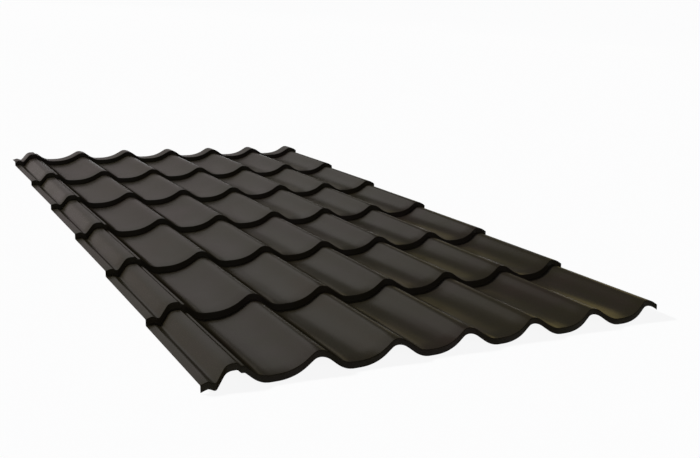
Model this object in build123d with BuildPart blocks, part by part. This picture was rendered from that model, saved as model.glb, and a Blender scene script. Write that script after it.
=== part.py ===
from build123d import *
import math
import os

# Metal roof tile sheet, one pressed piece. Millimetres, Z up.
# X runs across the waves, from the grooved lap to the plain edge.
# Y runs up the roof slope, from the front edge to the back edge.
# The stepped side profile is carried along the wave line without turning.

# Cover sizes: the grid that the neighbouring sheets share
wave_pitch = 1100 / 6
wave_count = 6
module_length = 350
module_count = 6
back_strip = 56

# Sheet and steps: the foot of a step stands in front of its nose by the draft,
# and the step line leans back as it climbs each wave
sheet_thickness = 0.5
step_height = 14
step_draft = 2
step_lean = 45

# Wave as a true cross-section: height, place of its top, slopes of its two sides
wave_depth = 24.5
crest_top_x = 5.6
flank_slope = 36.6
rise_slope = 23.1

# Roll radii, measured along the slanted plane that holds a step line
crest_radius = 29
foot_radius = 45
rise_radius = 140

# Grooved lap: outer flange, drip hollow, steep side, drain groove on the first crest
flange_tip = (-68.5, 1.4)
flange_hump = (-52, 5)
flange_hump_radius = 8
hollow_x = -38.5
hollow_radius = 6
lap_slope = 40
lap_crest_radius = 26
groove_edge_x = 12.5
groove_foot_x = 18.5
groove_level = 19.1
groove_radius = 3

# Plain edge: how far the cut lies past the last crest line
right_overhang = 31
right_edge = wave_count * wave_pitch + right_overhang


def run_for(height, slope):
    """Level distance in which a side of this slope gains this height."""
    return height / math.tan(math.radians(slope))


def slanted(x, z):
    """Where the cross-section point x, z lies in the slanted plane."""
    return (x, z / math.sin(math.radians(step_lean)))


def slanted_angle(slope):
    """Angle that a side of this slope has in the slanted plane."""
    rise, run = math.sin(math.radians(slope)), math.cos(math.radians(slope))
    return math.atan2(slanted(0, rise)[1], run)


def crest_apex():
    """Point above a crest where its two straight sides would meet."""
    flank = slanted_angle(flank_slope)
    rise = slanted_angle(rise_slope)
    spread = math.sin(flank + rise)
    past_top = crest_radius * (math.cos(rise) - math.cos(flank)) / spread
    above = crest_radius * ((math.sin(flank) + math.sin(rise)) / spread - 1)
    return crest_top_x + past_top, wave_depth + above * math.sin(math.radians(step_lean))


def left_lap():
    """Corners and roll radii of the grooved lap, up to the side of the first crest."""
    lap_top_x = hollow_x + run_for(wave_depth, lap_slope)
    shelf_end_x = apex_x + run_for(apex_z - groove_level, flank_slope)
    return [
        (flange_tip, None),
        (flange_hump, flange_hump_radius),
        ((hollow_x, 0), hollow_radius),
        ((lap_top_x, wave_depth), lap_crest_radius),
        ((groove_edge_x, wave_depth), groove_radius),
        ((groove_foot_x, groove_level), groove_radius),
        ((shelf_end_x, groove_level), groove_radius),
    ]


def last_crest_radius(reach):
    """Crest radius, limited so that its roll ends before the cut edge."""
    flank = slanted_angle(flank_slope)
    half_turn = (flank + slanted_angle(rise_slope)) / 2
    longest = reach / math.cos(flank) / math.tan(half_turn)
    return min(crest_radius, 0.99 * longest)


def hollow_radii():
    """Foot and rise radii, limited so that both rolls fit between two crests."""
    hollow_width = wave_pitch - run_for(apex_z, flank_slope) - run_for(apex_z, rise_slope)
    foot_reach = foot_radius * math.tan(slanted_angle(flank_slope) / 2)
    rise_reach = rise_radius * math.tan(slanted_angle(rise_slope) / 2)
    share = min(1, 0.99 * hollow_width / (foot_reach + rise_reach))
    return foot_radius * share, rise_radius * share


def waves():
    """Corners and roll radii of the repeated waves, up to the plain edge."""
    at_foot, at_rise = hollow_radii()
    corners = []
    for wave in range(wave_count):
        this_apex = apex_x + wave * wave_pitch
        next_apex = this_apex + wave_pitch
        corners.append(((this_apex + run_for(apex_z, flank_slope), 0), at_foot))
        corners.append(((next_apex - run_for(apex_z, rise_slope), 0), at_rise))
        corners.append(((next_apex, apex_z), crest_radius))
    edge_reach = right_edge - next_apex
    edge_drop = edge_reach * math.tan(math.radians(flank_slope))
    corners[-1] = ((next_apex, apex_z), last_crest_radius(edge_reach))
    corners.append(((right_edge, apex_z - edge_drop), None))
    return corners


def stepped_profile():
    """Bends of the upper face at a pan, from the front foot to the back edge."""
    bends = [(0, 0)]
    for module in range(module_count):
        bends.append((module * module_length + step_draft, step_height))
        bends.append(((module + 1) * module_length, 0))
    last_nose = module_count * module_length + step_draft
    strip_fall = back_strip * step_height / (module_length - step_draft)
    bends.append((last_nose, step_height))
    bends.append((last_nose + back_strip, step_height - strip_fall))
    return bends


def underside_shift():
    """Shift from the upper to the lower face that keeps the thickness round a bend."""
    tile_up = Vector(step_height, module_length - step_draft).normalized()
    riser_out = Vector(-step_height, step_draft).normalized()
    spread = tile_up.X * riser_out.Y - tile_up.Y * riser_out.X
    back = sheet_thickness * (tile_up.Y - riser_out.Y) / spread
    down = sheet_thickness * (tile_up.X - riser_out.X) / spread
    return back, -down


apex_x, apex_z = crest_apex()
shift_back, shift_down = underside_shift()
upper = stepped_profile()
lower = [(y + shift_back, z + shift_down) for y, z in reversed(upper)]

# Box middle on the Z axis, lowest face on the floor
wave_lean = run_for(wave_depth, step_lean)
sheet_depth = max(y for y, z in lower) + wave_lean
corner_of_grid = Vector(-(flange_tip[0] + right_edge) / 2, -sheet_depth / 2, -shift_down)
lean = math.radians(step_lean)
slanted_plane = Plane(corner_of_grid, x_dir=(1, 0, 0), z_dir=(0, -math.sin(lean), math.cos(lean)))

with BuildLine(slanted_plane) as wave_line:
    corner_list = left_lap() + waves()
    FilletPolyline(
        *[slanted(*point) for point, radius in corner_list],
        radius=[radius for point, radius in corner_list[1:-1]],
    )

with BuildPart() as tile_sheet:
    with BuildSketch(Plane(wave_line.line @ 0, x_dir=(0, 1, 0), z_dir=(1, 0, 0))) as side:
        with BuildLine():
            Polyline(*upper, *lower, close=True)
        make_face()
    sweep(side.sketch, path=wave_line.line, normal=(1, 0, 0))

tile_sheet.part.label = "tile_sheet"

os.makedirs("parts", exist_ok=True)
export_step(tile_sheet.part, "parts/tile_sheet.step")
print("tile_sheet:", len(tile_sheet.part.faces()), "faces,", tile_sheet.part.bounding_box())
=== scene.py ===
# %% [markdown]
# A pressed steel roofing sheet, seen in daylight tones on a pale studio floor.
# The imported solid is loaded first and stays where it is. Everything below is built
# around it, in metres, with X across the waves, Y up the roof slope and Z up.

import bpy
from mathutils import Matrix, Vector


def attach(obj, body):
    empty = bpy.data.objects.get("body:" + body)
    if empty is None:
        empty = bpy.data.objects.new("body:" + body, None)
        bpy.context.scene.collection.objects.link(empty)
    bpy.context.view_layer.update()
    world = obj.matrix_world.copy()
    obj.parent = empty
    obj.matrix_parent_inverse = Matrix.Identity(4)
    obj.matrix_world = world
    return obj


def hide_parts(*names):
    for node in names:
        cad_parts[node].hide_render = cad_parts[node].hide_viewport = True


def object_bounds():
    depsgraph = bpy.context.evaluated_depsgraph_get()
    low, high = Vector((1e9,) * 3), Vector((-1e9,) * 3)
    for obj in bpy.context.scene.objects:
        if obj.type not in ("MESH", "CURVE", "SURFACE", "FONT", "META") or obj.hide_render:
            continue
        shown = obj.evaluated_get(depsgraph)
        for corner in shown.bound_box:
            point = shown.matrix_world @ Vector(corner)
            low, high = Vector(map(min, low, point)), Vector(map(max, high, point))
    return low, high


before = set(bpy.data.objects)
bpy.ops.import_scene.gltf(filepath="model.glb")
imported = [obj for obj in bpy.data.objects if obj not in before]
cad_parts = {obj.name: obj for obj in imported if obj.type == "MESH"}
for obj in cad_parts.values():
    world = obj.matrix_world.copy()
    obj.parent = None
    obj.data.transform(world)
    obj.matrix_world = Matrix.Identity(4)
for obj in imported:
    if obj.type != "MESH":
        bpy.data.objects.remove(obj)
cad_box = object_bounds()
print("packed sheet box:", [[round(c, 4) for c in corner] for corner in cad_box])

# %% [markdown]
# The solid has the right shape, but its bends are sharp and its waves are faceted.
# A visual sheet with rounded bends and smooth waves will stand for it, so its sizes
# have to be the ones of the press. They are kept here in millimetres, as a tinsmith
# would write them, and turned into metres only when the mesh is made.

# %% Sizes of the press and the rolls
import math

import bpy
import numpy as np
from mathutils import Matrix, Vector

MM = 0.001
wave_pitch = 1100 / 6
wave_count = 6
module_length = 350
module_count = 6
back_strip = 56
sheet_thickness = 0.5
step_height = 14
step_draft = 2
bend_radius = 2.2
wave_depth = 24.5
crest_top_x = 5.6
flank_slope = math.radians(36.6)
rise_slope = math.radians(23.1)
crest_radius, foot_radius, rise_radius = 29, 45, 140
# Plain edge: how far the cut lies past the last crest line
right_overhang = 31
right_edge = wave_count * wave_pitch + right_overhang
# The step lines lean back at 45 degrees as they climb, so heights drawn in that plane stretch
LEAN_STRETCH = math.sqrt(2)
print("cover width", wave_count * wave_pitch, "mm, length", module_count * module_length, "mm")

# %% [markdown]
# The left edge of a sheet lies below its neighbour. It has an outer flange, a drip
# hollow and a drain groove on top of the first crest, so that water which gets past
# the neighbour's edge runs down to the eaves. These are the sizes of that lap.

# %% Sizes of the grooved lap
flange_tip_x, flange_tip_z = -68.5, 1.4
flange_hump_x, flange_hump_z, flange_hump_radius = -52, 5, 8
hollow_x, hollow_radius = -38.5, 6
lap_slope = math.radians(40)
lap_crest_radius = 26
groove_edge_x, groove_foot_x, groove_level = 12.5, 18.5, 19.1
groove_edge_radius, groove_end_radius = 2.5, 3
print("full width", round(right_edge - flange_tip_x, 1), "mm")

# %% [markdown]
# A roll former bends a flat strip at a row of corners, each with its own radius.
# One helper does the same: it takes corners with a radius and returns the points
# of the line, with every corner turned by an arc. The points could be set by eye,
# but then each change of a size would mean setting them again. The helper draws both
# the wave across the sheet and the stepped side profile along it.

# %% A line bent at its corners
def bent_line(corners, arc_step):
    """Points through corners (a, b, radius), each corner replaced by an arc."""
    places = [np.array(c[:2], float) for c in corners]
    points = [places[0]]
    for before, here, after, corner in zip(places, places[1:], places[2:], corners[1:]):
        into = (here - before) / np.linalg.norm(here - before)
        out = (after - here) / np.linalg.norm(after - here)
        turn = math.atan2(into[0] * out[1] - into[1] * out[0], into @ out)
        radius = corner[2]
        start = here - into * radius * math.tan(abs(turn) / 2)
        side = np.array([-into[1], into[0]]) * math.copysign(1, turn)
        centre = start + side * radius
        pieces = max(1, math.ceil(abs(turn) / arc_step))
        for angle in np.linspace(0, abs(turn), pieces + 1):
            from_centre = -side * radius * math.cos(angle)
            points.append(centre + from_centre + into * radius * math.sin(angle))
    points.append(places[-1])
    return np.array(points)


elbow = bent_line([(0, 0, 0), (2, 0, 1), (2, 2, 0)], math.radians(15))
print("an elbow bent in steps of 15 degrees has", len(elbow), "points")

# %% [markdown]
# The wave has a round crest, a steep side on its right, a wide hollow and a long
# gentle rise to the next crest. Two straight sides and three radii describe it, so
# the corner above each crest is worked out from the crest's height and roundness.

# %% The corner above a crest
def slanted_angle(slope):
    """Angle of a side as drawn in the leaning plane of the steps."""
    return math.atan(math.tan(slope) * LEAN_STRETCH)


def crest_apex():
    """Point above a crest where its straight sides would meet."""
    flank, rise = slanted_angle(flank_slope), slanted_angle(rise_slope)
    spread = math.sin(flank + rise)
    x = crest_top_x + crest_radius * (math.cos(rise) - math.cos(flank)) / spread
    above = crest_radius * ((math.sin(flank) + math.sin(rise)) / spread - 1)
    return x, wave_depth + above / LEAN_STRETCH


apex_x, apex_z = crest_apex()
flank_run = apex_z / math.tan(flank_slope)
rise_run = apex_z / math.tan(rise_slope)
print("the straight sides of a crest meet at", round(apex_z, 2), "mm")

# %% [markdown]
# Now the whole line can be written down as corners, from left to right. The bends
# are rolled in the leaning plane, so the heights are stretched before the corners
# are rounded and brought back after it.

# %% Corners of the wave line
def left_lap():
    """Corners of the grooved lap, as x, height and radius."""
    lap_top_x = hollow_x + wave_depth / math.tan(lap_slope)
    shelf_end_x = apex_x + (apex_z - groove_level) / math.tan(flank_slope)
    return [
        (flange_tip_x, flange_tip_z, 0),
        (flange_hump_x, flange_hump_z, flange_hump_radius),
        (hollow_x, 0, hollow_radius),
        (lap_top_x, wave_depth, lap_crest_radius),
        (groove_edge_x, wave_depth, groove_edge_radius),
        (groove_foot_x, groove_level, groove_edge_radius),
        (shelf_end_x, groove_level, groove_end_radius),
    ]


def wave_corners():
    """Corners from the outer flange to the plain edge, as x, stretched height, radius."""
    corners = left_lap()
    for wave in range(wave_count):
        this_apex = apex_x + wave * wave_pitch
        next_apex = this_apex + wave_pitch
        corners.append((this_apex + flank_run, 0, foot_radius))
        corners.append((next_apex - rise_run, 0, rise_radius))
        corners.append((next_apex, apex_z, crest_radius))
    corners.append((right_edge, apex_z - (right_edge - next_apex) * math.tan(flank_slope), 0))
    return [(x, z * LEAN_STRETCH, radius) for x, z, radius in corners]


wave_line = bent_line(wave_corners(), math.radians(1))
wave_line[:, 1] /= LEAN_STRETCH
print("wave line:", len(wave_line), "points, highest", round(wave_line[:, 1].max(), 2), "mm")

# %% [markdown]
# The mesh gets its points where the wave bends: close together on the crests, in
# the drain groove and at the foot of each steep side, and far apart on the long
# rise. Even spacing would be simpler, but it would leave the groove coarse or make
# the mesh needlessly heavy.

# %% Points across the sheet
lap_end, lap_spacing = 34, 2.4
crest_start, foot_end, bend_spacing = -12, 63, 3.6
hollow_places = np.array([68, 76, 84])
rise_start, rise_spacing = 90, 7
smallest_gap = 0.45


def stations_across():
    """Places across the sheet where the mesh has points, close where it bends."""
    places = list(np.arange(flange_tip_x, lap_end, lap_spacing))
    for wave in range(wave_count + 1):
        start = wave * wave_pitch
        places += list(start + np.arange(crest_start, foot_end, bend_spacing))
        places += list(start + hollow_places)
        places += list(start + np.arange(rise_start, wave_pitch + crest_start, rise_spacing))
    kept = [flange_tip_x]
    for place in sorted(p for p in places if flange_tip_x < p < right_edge):
        if place - kept[-1] > smallest_gap:
            kept.append(place)
    return np.array(kept + [right_edge])


across = stations_across()
wave_height = np.interp(across, wave_line[:, 0], wave_line[:, 1])
print("stations across:", len(across))

# %% [markdown]
# Along the slope the sheet is a saw: each tile falls gently towards the back and a
# riser lifts the next one. Both bends of a riser are rounded, as a press leaves
# them. Long straight runs are divided, so that no face is a needless sliver.

# %% The stepped profile along the sheet
bend_step = math.radians(22)
longest_run = 45


def step_corners():
    """Corners of the upper face at a hollow, from the front foot to the back edge."""
    corners = [(0, 0, 0)]
    for module in range(module_count):
        corners.append((module * module_length + step_draft, step_height, bend_radius))
        corners.append(((module + 1) * module_length, 0, bend_radius))
    nose = module_count * module_length + step_draft
    corners.append((nose, step_height, bend_radius))
    fall = back_strip * step_height / (module_length - step_draft)
    corners.append((nose + back_strip, step_height - fall, 0))
    return corners


def divided(line, longest):
    """The same line with no straight piece longer than this."""
    points = [line[0]]
    for a, b in zip(line, line[1:]):
        pieces = max(1, math.ceil(np.linalg.norm(b - a) / longest))
        points += [a + (b - a) * (k + 1) / pieces for k in range(pieces)]
    return np.array(points)


along = divided(bent_line(step_corners(), bend_step), longest_run)
print("stations along:", len(along))

# %% [markdown]
# Adding every point of the wave to every point of the saw gives the whole upper
# face as one grid. A press keeps the wave upright at every step, and so does this
# sum, where a profile swept along a curve would turn with the curve. The lower face
# is the same grid moved inwards by the sheet's thickness, along the surface's own
# direction. The shears cut both long edges straight down.

# %% The upper and the lower face
def upper_face():
    """Grid of points of the upper face, in metres, in the frame of the solid."""
    x = np.repeat(across[:, None], len(along), axis=1)
    y = along[None, :, 0] + wave_height[:, None]
    z = along[None, :, 1] + wave_height[:, None]
    low, high = np.array(cad_box[0]) / MM, np.array(cad_box[1]) / MM
    middle = (low + high) / 2
    x = x - (flange_tip_x + right_edge) / 2 + middle[0]
    y = y + low[1]
    z = z - wave_depth - step_height + high[2]
    return np.stack([x, y, z], axis=2) * MM


def outward(grid):
    """Unit directions square to the grid, pointing up and out."""
    over = np.gradient(grid, axis=0)
    back = np.gradient(grid, axis=1)
    square = np.cross(over, back)
    return square / np.linalg.norm(square, axis=2, keepdims=True)


top = upper_face()
bottom = top - outward(top) * sheet_thickness * MM
bottom[[0, -1], :, 0] = top[[0, -1], :, 0]
print("points in a face:", top.shape[0], "across by", top.shape[1], "along")

# %% [markdown]
# A sheet without thickness looks like paper at its edges. The two faces are
# therefore joined by a row of narrow quads all round, which makes one closed skin.
# Every quad is noted with the finish that it will carry: the coat above, the
# lacquer below, and bare metal at the cut rim.

# %% Faces of the closed skin
coat_slot, lacquer_slot, cut_slot = 0, 1, 2


def skin_faces(rows, cols):
    """Quads of the upper face, the lower face and the rim, and the finish of each."""
    lower = rows * cols
    faces, slots = [], []
    for i in range(rows - 1):
        for j in range(cols - 1):
            a = i * cols + j
            faces.append((a, a + cols, a + cols + 1, a + 1))
            faces.append((lower + a, lower + a + 1, lower + a + cols + 1, lower + a + cols))
            slots += [coat_slot, lacquer_slot]
    rim = [i * cols for i in range(rows)]
    rim += [(rows - 1) * cols + j for j in range(1, cols)]
    rim += [i * cols + cols - 1 for i in range(rows - 2, -1, -1)]
    rim += list(range(cols - 2, 0, -1))
    for a, b in zip(rim, rim[1:] + rim[:1]):
        faces.append((a, lower + a, lower + b, b))
        slots.append(cut_slot)
    return faces, slots


faces, slots = skin_faces(*top.shape[:2])
print("rim quads:", slots.count(cut_slot))

# %% [markdown]
# The skin becomes one object. All of it is shaded smooth, and only the cut rim,
# where two faces meet at more than 60 degrees, stays sharp. The new sheet rides on
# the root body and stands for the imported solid, which is then no longer shown.

# %% The sheet in the scene
skin_points = np.concatenate([top.reshape(-1, 3), bottom.reshape(-1, 3)])
sheet_mesh = bpy.data.meshes.new("tile_sheet_skin")
sheet_mesh.from_pydata(skin_points.tolist(), [], faces)
sheet_mesh.validate()
sheet_mesh.polygons.foreach_set("use_smooth", [True] * len(sheet_mesh.polygons))
sheet_mesh.polygons.foreach_set("material_index", slots)
sheet_mesh.set_sharp_from_angle(angle=math.radians(60))
sheet = bpy.data.objects.new("tile_sheet_skin", sheet_mesh)
bpy.context.scene.collection.objects.link(sheet)
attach(sheet, "root")
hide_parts("tile_sheet")
print("skin:", len(faces) * 2, "triangles")

# %% [markdown]
# Finishes are built as node trees, with tones that come from noise and not from a
# picture, so that no seam shows anywhere on the sheet. A small class wraps the output
# of a node, and tones can then be written as sums and products in Python. Each sign
# adds one Math node.

# %% A tone that can be reckoned with
class Tone:
    """A number that varies over a surface, as the output socket of a node."""

    def __init__(self, finish, socket):
        self.finish = finish
        self.socket = socket

    def reckon(self, operation, *values):
        """Adds a Math node on these values and returns its result."""
        sockets = dict(enumerate(values))
        return self.finish.node("ShaderNodeMath", {"operation": operation}, sockets)

    def __add__(self, other):
        return self.reckon("ADD", self, other)

    def __radd__(self, other):
        return self.reckon("ADD", other, self)

    def __sub__(self, other):
        return self.reckon("SUBTRACT", self, other)

    def __rsub__(self, other):
        return self.reckon("SUBTRACT", other, self)

    def __mul__(self, other):
        return self.reckon("MULTIPLY", self, other)

    def __rmul__(self, other):
        return self.reckon("MULTIPLY", other, self)


print("a tone can be added, subtracted and multiplied")

# %% [markdown]
# A finish is a material while it is being made. Any node comes from its one method,
# which sets the node up before it fills the sockets. The methods after it are the
# four mixtures that the finishes below share: a place, a cloudy noise, a mask of the
# faces that look one way, and a fine relief.

# %% A finish under construction
class Finish:
    """A material under construction."""

    def __init__(self, name):
        self.material = bpy.data.materials.new(name)
        self.material.use_nodes = True
        self.tree = self.material.node_tree
        self.tree.nodes.clear()

    def node(self, kind, settings, sockets, output=0):
        """Adds a node, sets it up, fills its sockets and returns one output."""
        made = self.tree.nodes.new(kind)
        for name, value in settings.items():
            if name == "stops":
                while len(made.color_ramp.elements) < len(value):
                    made.color_ramp.elements.new(0.5)
                for element, (position, colour) in zip(made.color_ramp.elements, value):
                    element.position = position
                    element.color = colour
            else:
                setattr(made, name, value)
        for name, value in sockets.items():
            if isinstance(value, Tone):
                self.tree.links.new(value.socket, made.inputs[name])
            else:
                made.inputs[name].default_value = value
        return Tone(self, made.outputs[output])

    def place(self, stretch=(1, 1, 1)):
        """Position on the object in metres, stretched along the axes."""
        spot = self.node("ShaderNodeTexCoord", {}, {}, "Object")
        return self.node("ShaderNodeMapping", {}, {"Vector": spot, "Scale": stretch}, "Vector")

    def noise(self, place, scale, detail, roughness):
        """Cloudy tone between 0 and 1, with this many clouds to the metre."""
        sockets = {"Vector": place, "Scale": scale, "Detail": detail, "Roughness": roughness}
        return self.node("ShaderNodeTexNoise", {}, sockets, "Fac")

    def turned_to(self, direction, begins, full):
        """Mask from 0 to 1 that grows as the surface turns to this direction."""
        normal = self.node("ShaderNodeTexCoord", {}, {}, "Normal")
        share = self.node("ShaderNodeVectorMath", {"operation": "DOT_PRODUCT"},
                          {0: normal, 1: direction}, "Value")
        return self.node("ShaderNodeMapRange", {"interpolation_type": "SMOOTHSTEP"},
                         {"Value": share, "From Min": begins, "From Max": full}, "Result")

    def relief(self, strength, height):
        """Normal of a surface with this fine relief, its height in metres."""
        sockets = {"Strength": strength, "Distance": 1.0, "Height": height}
        return self.node("ShaderNodeBump", {}, sockets, "Normal")

    def close(self, shader):
        """Ends the material with this shader."""
        end = self.tree.nodes.new("ShaderNodeOutputMaterial")
        self.tree.links.new(shader.socket, end.inputs["Surface"])
        return self.material


print("finish tools ready")

# %% [markdown]
# The upper coat is a dark brown polyester, baked onto the strip in a coil. Its
# pigment is a matt layer below a thin satin film, which is why the real sheet looks
# brown where it mirrors something dark and grey where it mirrors the lamp. So the
# colour sits in the base and the sheen in the coat. On the risers and on the steep
# right side of each wave the film is nearly taken away, which is painted shade: these
# faces turn away from the key lamp and are made to read dark. A riser is the only
# place that faces forwards and a steep side the only one that faces right, so the
# face's own direction tells where they are.

# %% Dark brown satin coat
grain_height = 0.00003
coat = Finish("dark brown satin coat")
drift = coat.noise(coat.place(), scale=3.1, detail=3.0, roughness=0.55)
patch = coat.noise(coat.place(), scale=11.0, detail=4.0, roughness=0.6)
streak = coat.noise(coat.place((46, 1.3, 46)), scale=1.0, detail=3.0, roughness=0.55)
grain = coat.noise(coat.place(), scale=1500.0, detail=2.0, roughness=0.6)
coat_colour = coat.node("ShaderNodeValToRGB", {"stops": [
    (0.36, (0.0172, 0.0126, 0.0066, 1)),
    (0.47, (0.0154, 0.0128, 0.0068, 1)),
    (0.55, (0.0162, 0.0124, 0.0080, 1)),
    (0.66, (0.0182, 0.0126, 0.0090, 1)),
]}, {"Fac": drift * 0.6 + patch * 0.25 + streak * 0.15}, "Color")
# Painted shade: the coat's sheen is taken off faces turned forwards (the risers) and to the right
# (the steep sides), so they read as dark as shade; the patches in the film are its own real
# variation.
riser_painted_shade = coat.turned_to((0, -1, 0), begins=0.15, full=0.7)
steep_side_painted_shade = coat.turned_to((1, 0, 0), begins=0.2, full=0.42)
coat_film_and_painted_shade = (0.95 + (patch - 0.5) * 0.2 - riser_painted_shade * 0.85) * (1 - steep_side_painted_shade * 0.95)
coat_shader = coat.node("ShaderNodeBsdfPrincipled", {}, {
    "Base Color": coat_colour,
    "Roughness": 0.6 + (grain - 0.5) * 0.1,
    "Specular IOR Level": 0.0,
    "Coat Weight": coat_film_and_painted_shade,
    "Coat Roughness": 0.24,
    "Normal": coat.relief(0.5, grain * grain_height),
}, "BSDF")
sheet_mesh.materials.append(coat.close(coat_shader))
print("upper coat:", len(coat.tree.nodes), "nodes")

# %% [markdown]
# Below, such sheets carry only a thin grey protective lacquer. It is slightly cloudy
# and has faint lines along the rolling direction. It gets a grain of its own as well,
# because the underside is seen whenever the sheet is stood up.

# %% Grey back lacquer
lacquer = Finish("grey back lacquer")
cloud = lacquer.noise(lacquer.place(), scale=6.0, detail=4.0, roughness=0.6)
lines = lacquer.noise(lacquer.place((120, 2, 120)), scale=1.0, detail=3.0, roughness=0.6)
speck = lacquer.noise(lacquer.place(), scale=900.0, detail=2.0, roughness=0.5)
lacquer_colour = lacquer.node("ShaderNodeValToRGB", {"stops": [
    (0.35, (0.26, 0.26, 0.25, 1)),
    (0.65, (0.33, 0.33, 0.315, 1)),
]}, {"Fac": cloud * 0.6 + lines * 0.4}, "Color")
lacquer_shader = lacquer.node("ShaderNodeBsdfPrincipled", {}, {
    "Base Color": lacquer_colour,
    "Roughness": 0.45 + cloud * 0.15,
    "Normal": lacquer.relief(0.4, speck * grain_height),
}, "BSDF")
sheet_mesh.materials.append(lacquer.close(lacquer_shader))
print("back lacquer:", len(lacquer.tree.nodes), "nodes")

# %% [markdown]
# The shears leave a cut edge that shows bare zinc with a sliver of steel. It is half
# a millimetre wide, so one mottled tone on a partly metallic surface is enough.

# %% Cut edge
cut = Finish("cut zinc edge")
bite = cut.noise(cut.place(), scale=700.0, detail=3.0, roughness=0.6)
cut_colour = cut.node("ShaderNodeValToRGB", {"stops": [
    (0.4, (0.09, 0.085, 0.08, 1)),
    (0.6, (0.2, 0.2, 0.195, 1)),
]}, {"Fac": bite}, "Color")
cut_shader = cut.node("ShaderNodeBsdfPrincipled", {}, {
    "Base Color": cut_colour,
    "Metallic": 0.6,
    "Roughness": 0.45 + bite * 0.2,
}, "BSDF")
sheet_mesh.materials.append(cut.close(cut_shader))
print("finishes on the sheet:", [m.name for m in sheet_mesh.materials])

# %% [markdown]
# The sheet lies on a wide pale floor. A flat plane would end in a hard horizon, so the
# floor rises gently all round, far away, as one shallow turned bowl. The same helper
# that bent the sheet draws its profile, here in metres.

# %% Floor
flat_radius, turn_radius = 70, 600
rim_radius, rim_height = 190, 5


def turned_bowl(profile, sides):
    """A surface made by turning a line of (radius, height) about the Z axis."""
    angles = np.linspace(0, 2 * math.pi, sides, endpoint=False)
    verts = [(0, 0, 0)]
    verts += [(r * math.cos(t), r * math.sin(t), z) for r, z in profile[1:] for t in angles]
    faces = [(0, 1 + k, 1 + (k + 1) % sides) for k in range(sides)]
    for ring in range(len(profile) - 2):
        inner = 1 + ring * sides
        outer = inner + sides
        for here in range(sides):
            beside = (here + 1) % sides
            faces.append((inner + here, outer + here, outer + beside, inner + beside))
    mesh = bpy.data.meshes.new("pale_floor")
    mesh.from_pydata(verts, [], faces)
    mesh.polygons.foreach_set("use_smooth", [True] * len(faces))
    made = bpy.data.objects.new("pale_floor", mesh)
    bpy.context.scene.collection.objects.link(made)
    return made


floor_corners = [(0, 0, 0), (flat_radius, 0, turn_radius), (rim_radius, rim_height, 0)]
floor = turned_bowl(bent_line(floor_corners, math.radians(0.3)), sides=96)
print("floor is", round(floor.dimensions.x), "m wide")

# %% [markdown]
# The floor has to look white without pouring more light on the sheet. So the eye and
# the mirrors of the sheet see it glow at plain white, while all other light meets
# matt paint. A tenth of the paint shows through, which keeps the sheet's own shadow.

# %% White paint of the floor
white_share = 0.9
floor_finish = Finish("pale floor")
floor_paint = floor_finish.node("ShaderNodeBsdfDiffuse", {}, {"Color": (0.8, 0.8, 0.8, 1)}, "BSDF")
floor_glow = floor_finish.node(
    "ShaderNodeEmission", {}, {"Color": (1, 1, 1, 1), "Strength": 1.0}, "Emission")
kinds_of_ray = ("Is Camera Ray", "Is Glossy Ray", "Is Transmission Ray")
seen = sum(floor_finish.node("ShaderNodeLightPath", {}, {}, kind) for kind in kinds_of_ray)
floor_shader = floor_finish.node("ShaderNodeMixShader", {}, {
    0: seen * white_share, 1: floor_paint, 2: floor_glow}, "Shader")
floor.data.materials.append(floor_finish.close(floor_shader))
print("floor finish:", len(floor_finish.tree.nodes), "nodes")

# %% [markdown]
# Every lamp is placed by the direction in which it is seen from the sheet: straight
# up the slope is 0 degrees and the right is 90. The air of the studio itself gives
# only a faint even light.

# %% Dim studio and directions
sky = bpy.data.worlds.new("dim studio")
sky.use_nodes = True
sky.node_tree.nodes["Background"].inputs["Color"].default_value = (1, 1, 1, 1)
sky.node_tree.nodes["Background"].inputs["Strength"].default_value = 0.05
bpy.context.scene.world = sky


def bearing(degrees_right, degrees_up):
    """Direction from the sheet, measured from straight up the slope."""
    side, up = math.radians(degrees_right), math.radians(degrees_up)
    return Vector((math.cos(up) * math.sin(side), math.cos(up) * math.cos(side), math.sin(up)))


def lamp_towards(name, kind, place, aim):
    """A lamp of this kind at this place, shining against the direction of aim."""
    data = bpy.data.lights.new(name, kind)
    made = bpy.data.objects.new(name, data)
    made.rotation_mode = "QUATERNION"
    made.rotation_quaternion = Vector(aim).to_track_quat("Z", "Y")
    made.location = place
    bpy.context.scene.collection.objects.link(made)
    return made


print("right of the sheet is", [round(c, 2) for c in bearing(90, 0)])

# %% [markdown]
# The key lamp shines from behind the sheet and from the left, low enough for every
# riser to throw a narrow shadow on the tile in front of it. A faint bluish fill from
# the front keeps the risers from going black. Both are sun lamps, whose light is the
# same from any distance, and both light the pigment only and aren't mirrored.

# %% Key and fill
sun_distance = 10


def far_sun(name, direction, energy, spread):
    """A sun lamp in this direction, not mirrored, its light spread by these degrees."""
    made = lamp_towards(name, "SUN", direction * sun_distance, direction)
    made.data.energy = energy
    made.data.angle = math.radians(spread)
    made.visible_glossy = False
    return made


far_sun("key from behind left", bearing(-40, 29), energy=5.0, spread=4)
fill = far_sun("faint fill from the front", bearing(165, 30), energy=0.5, spread=70)
fill.data.color = (0.9, 0.96, 1.3)
print("sun lamps:", [lamp.name for lamp in bpy.data.lights if lamp.type == "SUN"])

# %% [markdown]
# The sheen comes from upright soft panels, each written as the bearings and the
# heights that it fills, in degrees. A picture of a sky could be mirrored instead, but
# panels can be moved one by one. The broad one is hung in four bands, because its
# right edge leans to the left as it goes up. That edge draws the line between the grey
# and the brown part of the right-hand tiles. The low strip beyond it puts the thin
# light line beside each crest. Where two panels overlap, one hangs a metre nearer.

# %% Soft panels
panel_distance, nearer = 20, 19


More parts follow.
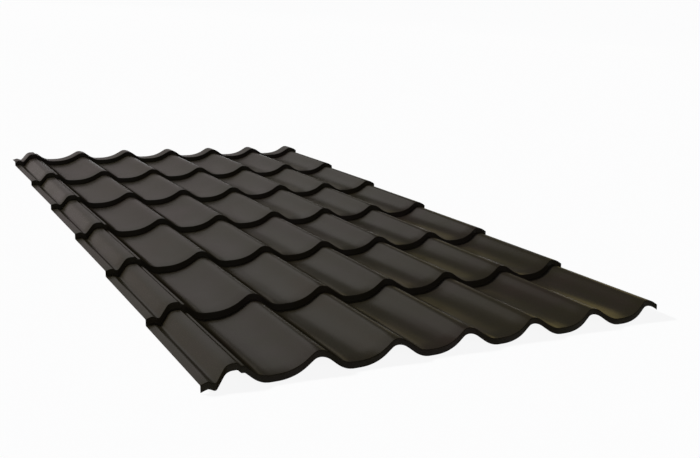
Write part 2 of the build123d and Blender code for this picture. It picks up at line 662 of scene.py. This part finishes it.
def soft_panel(name, bearings, heights, glow, colour=(1, 1, 1), distance=panel_distance):
    """An upright rectangular lamp over these bearings and, at its middle, these heights."""
    middle, half = (bearings[0] + bearings[1]) / 2, (bearings[1] - bearings[0]) / 2
    low, high = (distance * math.tan(math.radians(h)) for h in heights)
    level = bearing(middle, 0)
    place = level * distance + Vector((0, 0, (low + high) / 2))
    made = lamp_towards(name, "AREA", place, level)
    made.data.shape = "RECTANGLE"
    made.data.size = 2 * distance * math.tan(math.radians(half))
    made.data.size_y = high - low
    made.data.energy = glow * math.pi * made.data.size * made.data.size_y
    made.data.color = colour
    made.visible_camera = False


# Each band: lowest and highest degree, bearing of its right edge, glow, colour
broad_left = -61
rose, near_white = (1, 0.88, 0.87), (1, 0.965, 0.945)
broad_bands = [
    (5, 21, 22, 0.238, rose),
    (21, 31, 25.3, 0.32, near_white),
    (31, 39, 25.3, 0.32, near_white),
    (39, 55, 18.5, 0.32, near_white),
]
for low, high, right, glow, colour in broad_bands:
    name = f"broad panel from {low} degrees up"
    soft_panel(name, (broad_left, right), (low, high), glow, colour)
soft_panel("low panel far left", (-45, 0), (3, 14), 0.22, (1, 0.9, 0.89), nearer)
soft_panel("low strip right", (23, 44), (4, 11), 0.15, (1, 0.88, 0.72))
soft_panel("dim panel right", (34, 41), (9, 20), 0.15, (1, 0.8, 0.3), nearer)
soft_panel("warm panel far right", (46.5, 60), (8, 24), 0.42, (1, 0.79, 0.28))
soft_panel("soft panel in front", (150, 240), (10, 50), 0.22)
print("panels:", [lamp.name for lamp in bpy.data.lights if lamp.type == "AREA"])

# %% [markdown]
# The camera stands at the front left corner, a little above the sheet, and is
# tilted slightly to one side. Its place was found by matching the step lines. It
# sees far enough to reach the rim of the floor.

# %% Camera
eye = Vector((-1.11165, -2.48386, 0.72565))
look_right, look_up, tilt = math.radians(29.948), math.radians(-15.04), math.radians(4.025)
focal_pixels, picture_width, film_width = 873.55, 700, 36
farthest_view = 400
camera_data = bpy.data.cameras.new("camera")
camera_data.sensor_width = film_width
camera_data.lens = focal_pixels / picture_width * film_width
camera_data.clip_end = farthest_view
camera = bpy.data.objects.new("camera", camera_data)
turn = Matrix.Rotation(-look_right, 4, "Z") @ Matrix.Rotation(math.pi / 2 + look_up, 4, "X")
camera.matrix_world = Matrix.Translation(eye) @ turn @ Matrix.Rotation(tilt, 4, "Z")
bpy.context.scene.collection.objects.link(camera)
bpy.context.scene.camera = camera
bpy.context.scene.view_settings.view_transform = "Standard"
print("lens", round(camera_data.lens, 2), "mm")
